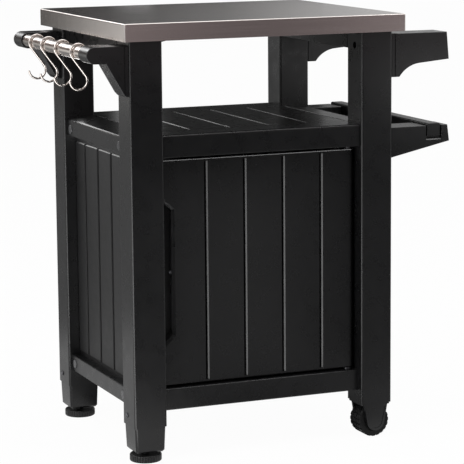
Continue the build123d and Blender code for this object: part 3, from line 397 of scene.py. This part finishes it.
def bright_steel():
    """Tube and hooks."""
    return finish("Polished plated steel", polished_steel, settings().bright, BUFFED)


def screw_steel():
    """Screws, bolts, pins and axles."""
    return finish("Dark zinc-plated steel", polished_steel, settings().zinc, PLATED)


# Soft edges: what counts as one point and as a sharp edge
WELD_GAP = 0.02 * MM
SHARP_ANGLE = math.radians(38)


def soften(piece, width):
    """Welds the loaded faces together and rounds the sharp edges that are left."""
    weld = piece.modifiers.new("join faces", "WELD")
    weld.merge_threshold = WELD_GAP
    bevel = piece.modifiers.new("soft edges", "BEVEL")
    bevel.width = width
    bevel.segments = 2
    bevel.limit_method = "ANGLE"
    bevel.angle_limit = SHARP_ANGLE
    bevel.use_clamp_overlap = True
    bevel.harden_normals = True


def dress(nodes, material, edge=None):
    """Gives CAD nodes a finish and, where asked, soft edges."""
    for name in nodes:
        node = NODES[name]
        node.data.materials.clear()
        node.data.materials.append(material)
        if edge:
            soften(node, edge)


def make_piece(name, bm, materials, body, replaced):
    """Links a new mesh, lets it ride on a body and hides the CAD node it stands for."""
    mesh = bpy.data.meshes.new(name)
    bm.to_mesh(mesh)
    bm.free()
    piece = bpy.data.objects.new(name, mesh)
    bpy.context.scene.collection.objects.link(piece)
    for material in materials:
        mesh.materials.append(material)
    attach(piece, body)
    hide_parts(replaced)


# Pan-head screws with a cross recess
HEAD_RINGS = 16
HEAD_TURNS = 56
HEAD_TWIST = 0.4
RECESS_ARM = 1.5 * MM
RECESS_REACH = 2.6 * MM
RECESS_DEPTH = 1.4 * MM
RECESS_WALL = 0.35 * MM
RECESS_TIP = 0.8 * MM


def cross_recess(x, y):
    """Depth of the cross recess at one point of a screw head, with sloping walls."""
    across = min(abs(x), abs(y))
    along = max(abs(x), abs(y))
    wall = max(0.0, min(1.0, (RECESS_ARM / 2 - across) / RECESS_WALL))
    tip = max(0.0, min(1.0, (RECESS_REACH - along) / RECESS_TIP))
    return RECESS_DEPTH * wall * tip


def add_screw_head(bm, place, radius, rise):
    """Pan head with a cross recess, its seat at the origin of place and its crown along +Z."""
    crown = bm.verts.new(place @ Vector((0, 0, rise - cross_recess(0, 0))))
    inner = None
    for i in range(1, HEAD_RINGS + 1):
        r = radius * i / HEAD_RINGS
        dome = rise * (1 - (r / radius) ** 4) ** 0.5
        ring = []
        for k in range(HEAD_TURNS):
            x = r * math.cos(2 * math.pi * k / HEAD_TURNS)
            y = r * math.sin(2 * math.pi * k / HEAD_TURNS)
            ring.append(bm.verts.new(place @ Vector((x, y, dome - cross_recess(x, y)))))
        for k in range(HEAD_TURNS):
            after = (k + 1) % HEAD_TURNS
            if inner is None:
                bm.faces.new((crown, ring[k], ring[after]))
            else:
                bm.faces.new((inner[k], ring[k], ring[after], inner[after]))
        inner = ring
    bm.faces.new(list(reversed(inner)))


def leg_screw_heads():
    """One screw low on the outer face of each leg."""
    low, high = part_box("leg_screws")
    radius = (high.z - low.z) / 2
    height = (low.z + high.z) / 2
    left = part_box("leg_front_left")[0].x
    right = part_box("leg_front_right")[1].x
    bm = bmesh.new()
    for y in (low.y + radius, high.y - radius):
        for side, x in ((-1, left), (1, right)):
            place = Matrix.Translation((x, y, height)) @ Matrix.Rotation(side * math.pi / 2, 4, "Y")
            add_screw_head(bm, place @ Matrix.Rotation(HEAD_TWIST, 4, "Z"), radius, high.x - right)
    for face in bm.faces:
        face.smooth = True
    make_piece("leg_screw_heads", bm, (screw_steel(),), "frame", "leg_screws")


# Raised planks of the side walls: how they stand on the wall's board and slope at their edges
PLANK_GROOVES = 4
PLANK_SHIFT = -12 * MM
PLANK_SIDE_GAP = 3 * MM
PLANK_FOOT_GAP = 9 * MM
PLANK_HEAD_GAP = 43 * MM
PLANK_SLOPE = 1.8 * MM
PLANK_DRAFT = 0.5 * MM
PLANK_FINISH = 0
BOARD_FINISH = 1


def stack_rings(bm, rings, finish_index):
    """Closed solid through rings of four points, from its back to its front."""
    rows = [[bm.verts.new(p) for p in ring] for ring in rings]
    faces = [bm.faces.new(rows[0]), bm.faces.new(rows[-1])]
    for inner, outer in zip(rows, rows[1:]):
        for k in range(4):
            after = (k + 1) % 4
            faces.append(bm.faces.new((inner[k], inner[after], outer[after], outer[k])))
    for face in faces:
        face.material_index = finish_index


def ring_at(x, y, z):
    """Four corners of a rectangle across X."""
    return [(x, y[0], z[0]), (x, y[1], z[0]), (x, y[1], z[1]), (x, y[0], z[1])]


def planked_wall(node, out):
    """Cabinet wall: a dull board with five raised planks whose sloped tops catch the light."""
    s = settings()
    low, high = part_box(node)
    face, back = (low.x, high.x) if out < 0 else (high.x, low.x)
    seat = face - out * s.plank
    shoulder = face - out * PLANK_SLOPE
    bm = bmesh.new()
    stack_rings(bm, [ring_at(x, (low.y, high.y), (low.z, high.z)) for x in (back, seat)], BOARD_FINISH)
    half = (high.y - low.y) / 2 - PLANK_SIDE_GAP
    cuts = [(i - (PLANK_GROOVES - 1) / 2) * s.plank_pitch + PLANK_SHIFT for i in range(PLANK_GROOVES)]
    starts = [-half] + [cut + s.groove / 2 for cut in cuts]
    ends = [cut - s.groove / 2 for cut in cuts] + [half]
    tall = (low.z + PLANK_FOOT_GAP, high.z - PLANK_HEAD_GAP)
    inner_tall = (tall[0] + PLANK_SLOPE, tall[1] - PLANK_SLOPE)
    for wide in zip(starts, ends):
        inner_wide = (wide[0] + PLANK_DRAFT, wide[1] - PLANK_DRAFT)
        stack_rings(bm, [ring_at(seat, wide, tall), ring_at(shoulder, wide, tall),
                         ring_at(face, inner_wide, inner_tall)], PLANK_FINISH)
    bmesh.ops.recalc_face_normals(bm, faces=bm.faces)
    make_piece(node + "_planks", bm, (wall_resin(), shade_darkened_resin()), "frame", node)


class GRILLTABLE_OT_frame(bpy.types.Operator):
    """Legs, aprons, rails, deck and cabinet walls in satin resin"""

    bl_idname = "grill_table.frame"
    bl_label = "Legs and cabinet"

    def execute(self, context):
        dress(LEG_NODES + APRON_NODES + RAIL_NODES + PANEL_NODES + ("deck",), resin())
        dress(("corner_braces", "jamb_left", "jamb_right"), shade_darkened_resin(), settings().edge)
        planked_wall("side_panel_left", -1)
        planked_wall("side_panel_right", 1)
        dress(("top_core",), shade_darkened_resin())
        dress(("magnet_catch",), screw_steel())
        return {"FINISHED"}


class GRILLTABLE_OT_door(bpy.types.Operator):
    """Planked door with its stud, strike and hinge pins"""

    bl_idname = "grill_table.door"
    bl_label = "Door"

    def execute(self, context):
        dress(("door",), door_resin())
        dress(("door_stud", "door_strike", "hinge_pin_upper", "hinge_pin_lower"), screw_steel())
        return {"FINISHED"}


class GRILLTABLE_OT_steel_top(bpy.types.Operator):
    """Folded stainless top"""

    bl_idname = "grill_table.steel_top"
    bl_label = "Steel top"

    def execute(self, context):
        dress(("steel_top",), top_steel())
        return {"FINISHED"}


class GRILLTABLE_OT_tool_bar(bpy.types.Operator):
    """Polished bar and its hanging hooks"""

    bl_idname = "grill_table.tool_bar"
    bl_label = "Tool bar and hooks"

    def execute(self, context):
        dress(("tool_bar",) + HOOK_NODES, bright_steel())
        return {"FINISHED"}


class GRILLTABLE_OT_brackets(bpy.types.Operator):
    """Brackets on both sides, roll rod and bag bar"""

    bl_idname = "grill_table.brackets"
    bl_label = "Side brackets"

    def execute(self, context):
        dress(BRACKET_NODES + ("bag_bar", "roll_rod"), resin())
        return {"FINISHED"}


class GRILLTABLE_OT_feet(bpy.types.Operator):
    """Foot blocks, wheel housings, levellers and wheels"""

    bl_idname = "grill_table.feet"
    bl_label = "Feet and wheels"

    def execute(self, context):
        dress(FOOT_NODES, resin())
        dress(("leveller_front", "leveller_rear"), shade_darkened_resin())
        dress(("wheel_front", "wheel_rear"), wheel_resin())
        dress(("axle_front", "axle_rear"), screw_steel())
        return {"FINISHED"}


class GRILLTABLE_OT_fasteners(bpy.types.Operator):
    """Screws, bolts and round caps"""

    bl_idname = "grill_table.fasteners"
    bl_label = "Fasteners"

    def execute(self, context):
        leg_screw_heads()
        dress(("bracket_bolts",), screw_steel())
        dress(("rail_caps",), cap_resin())
        return {"FINISHED"}


# Camera fitted to the photograph's straight edges, about the middle of the legs, in metres and radians
CAMERA_PLACE = (-1.78957, -4.39241, 1.21288)
CAMERA_YAW = 0.392358
CAMERA_PITCH = 0.164697
CAMERA_ROLL = -0.008616
FOCAL_PX = 2231.8
FRAME_PX = 464
SENSOR_MM = 36.0
FAR_CLIP = 60


def camera():
    """Long lens from the front left, a little above the top."""
    data = bpy.data.cameras.new("camera")
    data.sensor_width = SENSOR_MM
    data.lens = SENSOR_MM * FOCAL_PX / FRAME_PX
    data.clip_end = FAR_CLIP
    eye = bpy.data.objects.new("camera", data)
    bpy.context.scene.collection.objects.link(eye)
    forward = Vector((math.sin(CAMERA_YAW) * math.cos(CAMERA_PITCH),
                      math.cos(CAMERA_YAW) * math.cos(CAMERA_PITCH), -math.sin(CAMERA_PITCH)))
    level = Vector((math.cos(CAMERA_YAW), -math.sin(CAMERA_YAW), 0))
    rise = level.cross(forward)
    right = math.cos(CAMERA_ROLL) * level + math.sin(CAMERA_ROLL) * rise
    up = math.cos(CAMERA_ROLL) * rise - math.sin(CAMERA_ROLL) * level
    turn = Matrix((right, up, -forward)).transposed()
    eye.matrix_world = Matrix.Translation(Vector(CAMERA_PLACE) + Vector((LEGS_X, 0, FLOOR_Z))) @ turn.to_4x4()
    bpy.context.scene.camera = eye


def softbox(name, place, target, size, watts):
    """Large soft area lamp turned to a point."""
    data = bpy.data.lights.new(name, "AREA")
    data.shape = "RECTANGLE"
    data.size, data.size_y = size
    data.energy = watts
    lamp = bpy.data.objects.new(name, data)
    bpy.context.scene.collection.objects.link(lamp)
    lamp.location = place
    lamp.rotation_euler = (Vector(target) - Vector(place)).to_track_quat("-Z", "Y").to_euler()


def upright(left, right, y, low, high):
    """Corners of an upright sheet across the view."""
    return [(left, y, low), (right, y, low), (right, y, high), (left, y, high)]


def sideways(x, front, back, low, high):
    """Corners of an upright sheet along the table's side."""
    return [(x, front, low), (x, back, low), (x, back, high), (x, front, high)]


def lying(left, right, front, back, z):
    """Corners of a level sheet."""
    return [(left, front, z), (right, front, z), (right, back, z), (left, back, z)]


def sheet_object(name, corners, material):
    """Flat four-cornered stage piece."""
    mesh = bpy.data.meshes.new(name)
    mesh.from_pydata(corners, [], [(0, 1, 2, 3)])
    mesh.materials.append(material)
    piece = bpy.data.objects.new(name, mesh)
    bpy.context.scene.collection.objects.link(piece)
    return piece


# Studio: ambient for what isn't seen, paint of the floor, how much of the floor is plain white to the eye
AMBIENT = 0.45
WHITE = (1, 1, 1, 1)
FLOOR_PAINT = (0.9, 0.9, 0.9, 1)
FLOOR_WHITE = 0.97
FLOOR_REACH = 30.0


def seen_rays(tree):
    """1 for camera, glossy and transmission rays, 0 for the rest."""
    rays = add(tree, "ShaderNodeLightPath")
    first = add(tree, "ShaderNodeMath", {0: rays.outputs["Is Camera Ray"], 1: rays.outputs["Is Glossy Ray"]},
                operation="MAXIMUM")
    both = add(tree, "ShaderNodeMath", {0: first.outputs[0], 1: rays.outputs["Is Transmission Ray"]},
               operation="MAXIMUM")
    return both.outputs[0]


def world():
    """White to the eye and in reflections, a plain grey ambient for everything else."""
    scene = bpy.context.scene
    scene.world = bpy.data.worlds.new("studio")
    scene.world.use_nodes = True
    tree = scene.world.node_tree
    tree.nodes.clear()
    strength = add(tree, "ShaderNodeMapRange", {"Value": seen_rays(tree), "To Min": AMBIENT, "To Max": 1.0})
    sky = add(tree, "ShaderNodeBackground", {"Color": WHITE, "Strength": strength.outputs["Result"]})
    add(tree, "ShaderNodeOutputWorld", {"Surface": sky.outputs["Background"]})


def floor():
    """Pale floor, white to the eye except where the table shades it."""
    material, tree = bare_material("White studio floor")
    paint = add(tree, "ShaderNodeBsdfDiffuse", {"Color": FLOOR_PAINT})
    glow = add(tree, "ShaderNodeEmission", {"Color": WHITE, "Strength": 1.0})
    share = add(tree, "ShaderNodeMath", {0: seen_rays(tree), 1: FLOOR_WHITE}, operation="MULTIPLY")
    mix = add(tree, "ShaderNodeMixShader", {0: share.outputs[0], 1: paint.outputs[0], 2: glow.outputs[0]})
    add(tree, "ShaderNodeOutputMaterial", {"Surface": mix.outputs[0]})
    sheet_object("floor", lying(-FLOOR_REACH, FLOOR_REACH, -FLOOR_REACH, FLOOR_REACH, FLOOR_Z), material)


NEUTRAL = (1, 1, 1)
MAUVE = (1.0, 0.86, 0.88)
CREAM = (1, 0.99, 0.96)
WARM = (1, 0.84, 0.78)


def plain(tone):
    """Stops of a card with one tone all over."""
    return ((0, tone), (1, tone))


def card(name, corners, stops, tint=NEUTRAL, one_sided=False):
    """Reflector that only mirrors see; stops are (share of its width, tone) from left to right."""
    material, tree = bare_material(name)
    place = add(tree, "ShaderNodeTexCoord").outputs["Generated"]
    across = add(tree, "ShaderNodeSeparateXYZ", {0: place})
    shade = add(tree, "ShaderNodeValToRGB", {"Fac": across.outputs[0]})
    ramp = shade.color_ramp
    while len(ramp.elements) < len(stops):
        ramp.elements.new(0.5)
    for element, (share, tone) in zip(ramp.elements, stops):
        element.position = share
        element.color = rgba(tint, tone)
    glow = add(tree, "ShaderNodeEmission", {"Color": shade.outputs[0], "Strength": 1.0})
    if one_sided:
        behind = add(tree, "ShaderNodeNewGeometry").outputs["Backfacing"]
        clear = add(tree, "ShaderNodeBsdfTransparent")
        glow = add(tree, "ShaderNodeMixShader", {0: behind, 1: glow.outputs[0], 2: clear.outputs[0]})
    add(tree, "ShaderNodeOutputMaterial", {"Surface": glow.outputs[0]})
    piece = sheet_object(name, corners, material)
    piece.visible_camera = False
    piece.visible_diffuse = False
    piece.visible_shadow = False
    piece.visible_transmission = False


# Lamps in metres and watts: name, place, size, power
LAMPS = (
    ("left softbox", (-2.6, -1.2, 2.2), (1.6, 2.2), 42),
    ("top softbox", (0.2, -0.4, 3.0), (2.4, 2.4), 38),
    ("right fill", (2.6, -2.0, 1.6), (1.6, 1.6), 12),
)
LAMPS_AIM_Z = 0.5

# Cards in metres: name, corners, stops, tint. The front ones show in the door, rails and legs.
FRONT_CARDS = (
    ("front flag", upright(-3.0, 4.5, -2.6, 0.01, 4.0),
     ((0, 0.1), (0.42, 0.53), (0.53, 0.17), (0.6, 0.45), (1, 0.1)), MAUVE),
    ("front board, low", upright(-0.6, 1.6, -0.75, 0.0, 0.5),
     ((0.25, 0.15), (0.31, 0.44), (0.38, 0.44), (0.436, 0.15), (0.484, 0.2)), NEUTRAL),
    ("front board, middle", upright(-0.6, 1.6, -0.75, 0.5, 0.63),
     ((0.25, 0.05), (0.3, 0.0), (0.44, 0.0), (0.5, 0.1), (0.56, 0.2)), NEUTRAL),
    ("front board, high", upright(-0.6, 1.6, -0.75, 0.63, 0.76),
     ((0.25, 0.0), (0.44, 0.1), (0.49, 0.2), (0.53, 1.6)), NEUTRAL),
    ("front board, floor", lying(-0.08, 1.0, -0.75, -0.36, 0.002),
     ((0, 0.15), (0.3, 0.15), (0.4, 0.6), (1, 0.6)), NEUTRAL),
)

# The others show in the steel top, the deck, the left faces, the tube and the hooks.
OTHER_CARDS = (
    # Painted shadow: a dark sheet on the floor under the table, seen only in reflections, for the table's
    # shade there
    ("painted shadow board", lying(-0.24, 0.26, -0.2, 0.3, 0.002), plain(0.12), NEUTRAL),
    ("back flag", upright(0.3, 5.0, 6.0, 0.3, 7.0),
     ((0, 0.02), (0.28, 0.04), (0.46, 0.2), (0.59, 0.5), (0.76, 0.8)), NEUTRAL),
    ("shelf board", upright(-0.2, 0.5, 0.6, 0.45, 0.92),
     ((0.2, 0.0), (0.28, 0.8), (0.34, 0.8), (0.38, 0.03), (1, 0.04)), NEUTRAL),
    ("back board, right", upright(0.5, 1.4, 0.6, 0.7, 0.83), plain(0.3), NEUTRAL),
    ("back strip, left", upright(-1.5, 0.1, 2.5, 1.3, 2.3), ((0.55, 6.0), (0.7, 1.5), (0.8, 0.5)), NEUTRAL),
    ("left board, low", upright(-1.3, -0.35, 1.0, 0.0, 0.6), plain(0.29), NEUTRAL),
    ("left board, high", upright(-1.3, -0.35, 1.0, 0.6, 0.87),
     ((0.3, 1.4), (0.48, 1.1), (0.57, 0.78), (0.68, 0.3), (0.76, 0.12)), CREAM),
    ("left board, floor", lying(-1.3, -0.34, -0.35, 1.0, 0.002), plain(0.68), NEUTRAL),
    ("left flag, high", upright(-2.6, -0.5, 2.31, 0.75, 1.5), ((0, 0.3), (0.6, 0.2), (1, 0.3)), WARM),
    ("bracket board", lying(-0.8, 0.6, 1.05, 5.0, 0.002), plain(0.03), NEUTRAL),
    ("left strip", sideways(-1.6, -1.6, -0.3, 0.0, 0.5), plain(5.0), NEUTRAL),
    ("left strip, floor", lying(-1.6, -0.3, -1.3, -0.36, 0.003), plain(5.0), NEUTRAL),
    ("top strip", lying(0.3, 1.4, -0.75, -0.25, 2.4), ((0.55, 3.0), (0.65, 8.0)), NEUTRAL),
)

# Gap between a rail and the strip under it, and heights of the strips beside the deck and the door's notch
STRIP_GAP = 1 * MM
DECK_STRIP_Z = (0.69, 0.8)
NOTCH_STRIP_Z = (0.262, 0.512)


def painted_edge_highlights():
    """Painted highlights: small glowing cards close to four edges that show as fine light lines."""
    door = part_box("door")[0].y
    low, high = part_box("front_top_rail")
    card("door rim strip", lying(low.x, high.x, door - 5 * MM, door + 0.5 * MM, low.z - STRIP_GAP),
         plain(8.0))
    low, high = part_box("side_rail_upper_left")
    card("plank top strip", lying(low.x + 4 * MM, high.x, low.y, high.y, low.z - STRIP_GAP), plain(4.0))
    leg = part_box("leg_rear_left")[0]
    card("deck rim strip", upright(leg.x - 12 * MM, leg.x + 40 * MM, leg.y - 2 * MM, *DECK_STRIP_Z),
         plain(3.0), one_sided=True)
    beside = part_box("leg_front_left")[1].x + 0.5 * MM
    card("notch strip", sideways(beside, door + 4 * MM, door + 9 * MM, *NOTCH_STRIP_Z),
         plain(6.0), one_sided=True)


class GRILLTABLE_OT_stage(bpy.types.Operator):
    """Pale floor, soft studio light and the camera"""

    bl_idname = "grill_table.stage"
    bl_label = "Studio"

    def execute(self, context):
        camera()
        world()
        floor()
        for name, place, size, watts in LAMPS:
            softbox(name, place, (LEGS_X, 0, LAMPS_AIM_Z), size, watts)
        for front_card in FRONT_CARDS:
            card(*front_card)
        painted_edge_highlights()
        for other_card in OTHER_CARDS:
            card(*other_card)
        context.scene.view_settings.view_transform = "Standard"
        return {"FINISHED"}


class GRILLTABLE_PT_looks(bpy.types.Panel):
    """Lists the table's finishes and the steps that build its looks"""

    bl_idname = "GRILLTABLE_PT_looks"
    bl_label = "Grill table"
    bl_space_type = "VIEW_3D"
    bl_region_type = "UI"
    bl_category = "Grill table"

    def draw(self, context):
        for name in GrillTableSettings.__annotations__:
            self.layout.prop(context.scene.grill_table, name)
        for step in STEPS:
            self.layout.operator(step.bl_idname)


STEPS = (GRILLTABLE_OT_frame, GRILLTABLE_OT_door, GRILLTABLE_OT_steel_top, GRILLTABLE_OT_tool_bar,
         GRILLTABLE_OT_brackets, GRILLTABLE_OT_feet, GRILLTABLE_OT_fasteners, GRILLTABLE_OT_stage)
CLASSES = (GrillTableSettings,) + STEPS + (GRILLTABLE_PT_looks,)


def register():
    """Makes the settings, steps and panel known to Blender."""
    for cls in CLASSES:
        bpy.utils.register_class(cls)
    bpy.types.Scene.grill_table = bpy.props.PointerProperty(type=GrillTableSettings)


def unregister():
    """Takes them out again."""
    del bpy.types.Scene.grill_table
    for cls in reversed(CLASSES):
        bpy.utils.unregister_class(cls)


def main():
    """Builds the looks step by step."""
    register()
    bpy.ops.grill_table.frame()
    bpy.ops.grill_table.door()
    bpy.ops.grill_table.steel_top()
    bpy.ops.grill_table.tool_bar()
    bpy.ops.grill_table.brackets()
    bpy.ops.grill_table.feet()
    bpy.ops.grill_table.fasteners()
    bpy.ops.grill_table.stage()


if __name__ == "__main__":
    main()
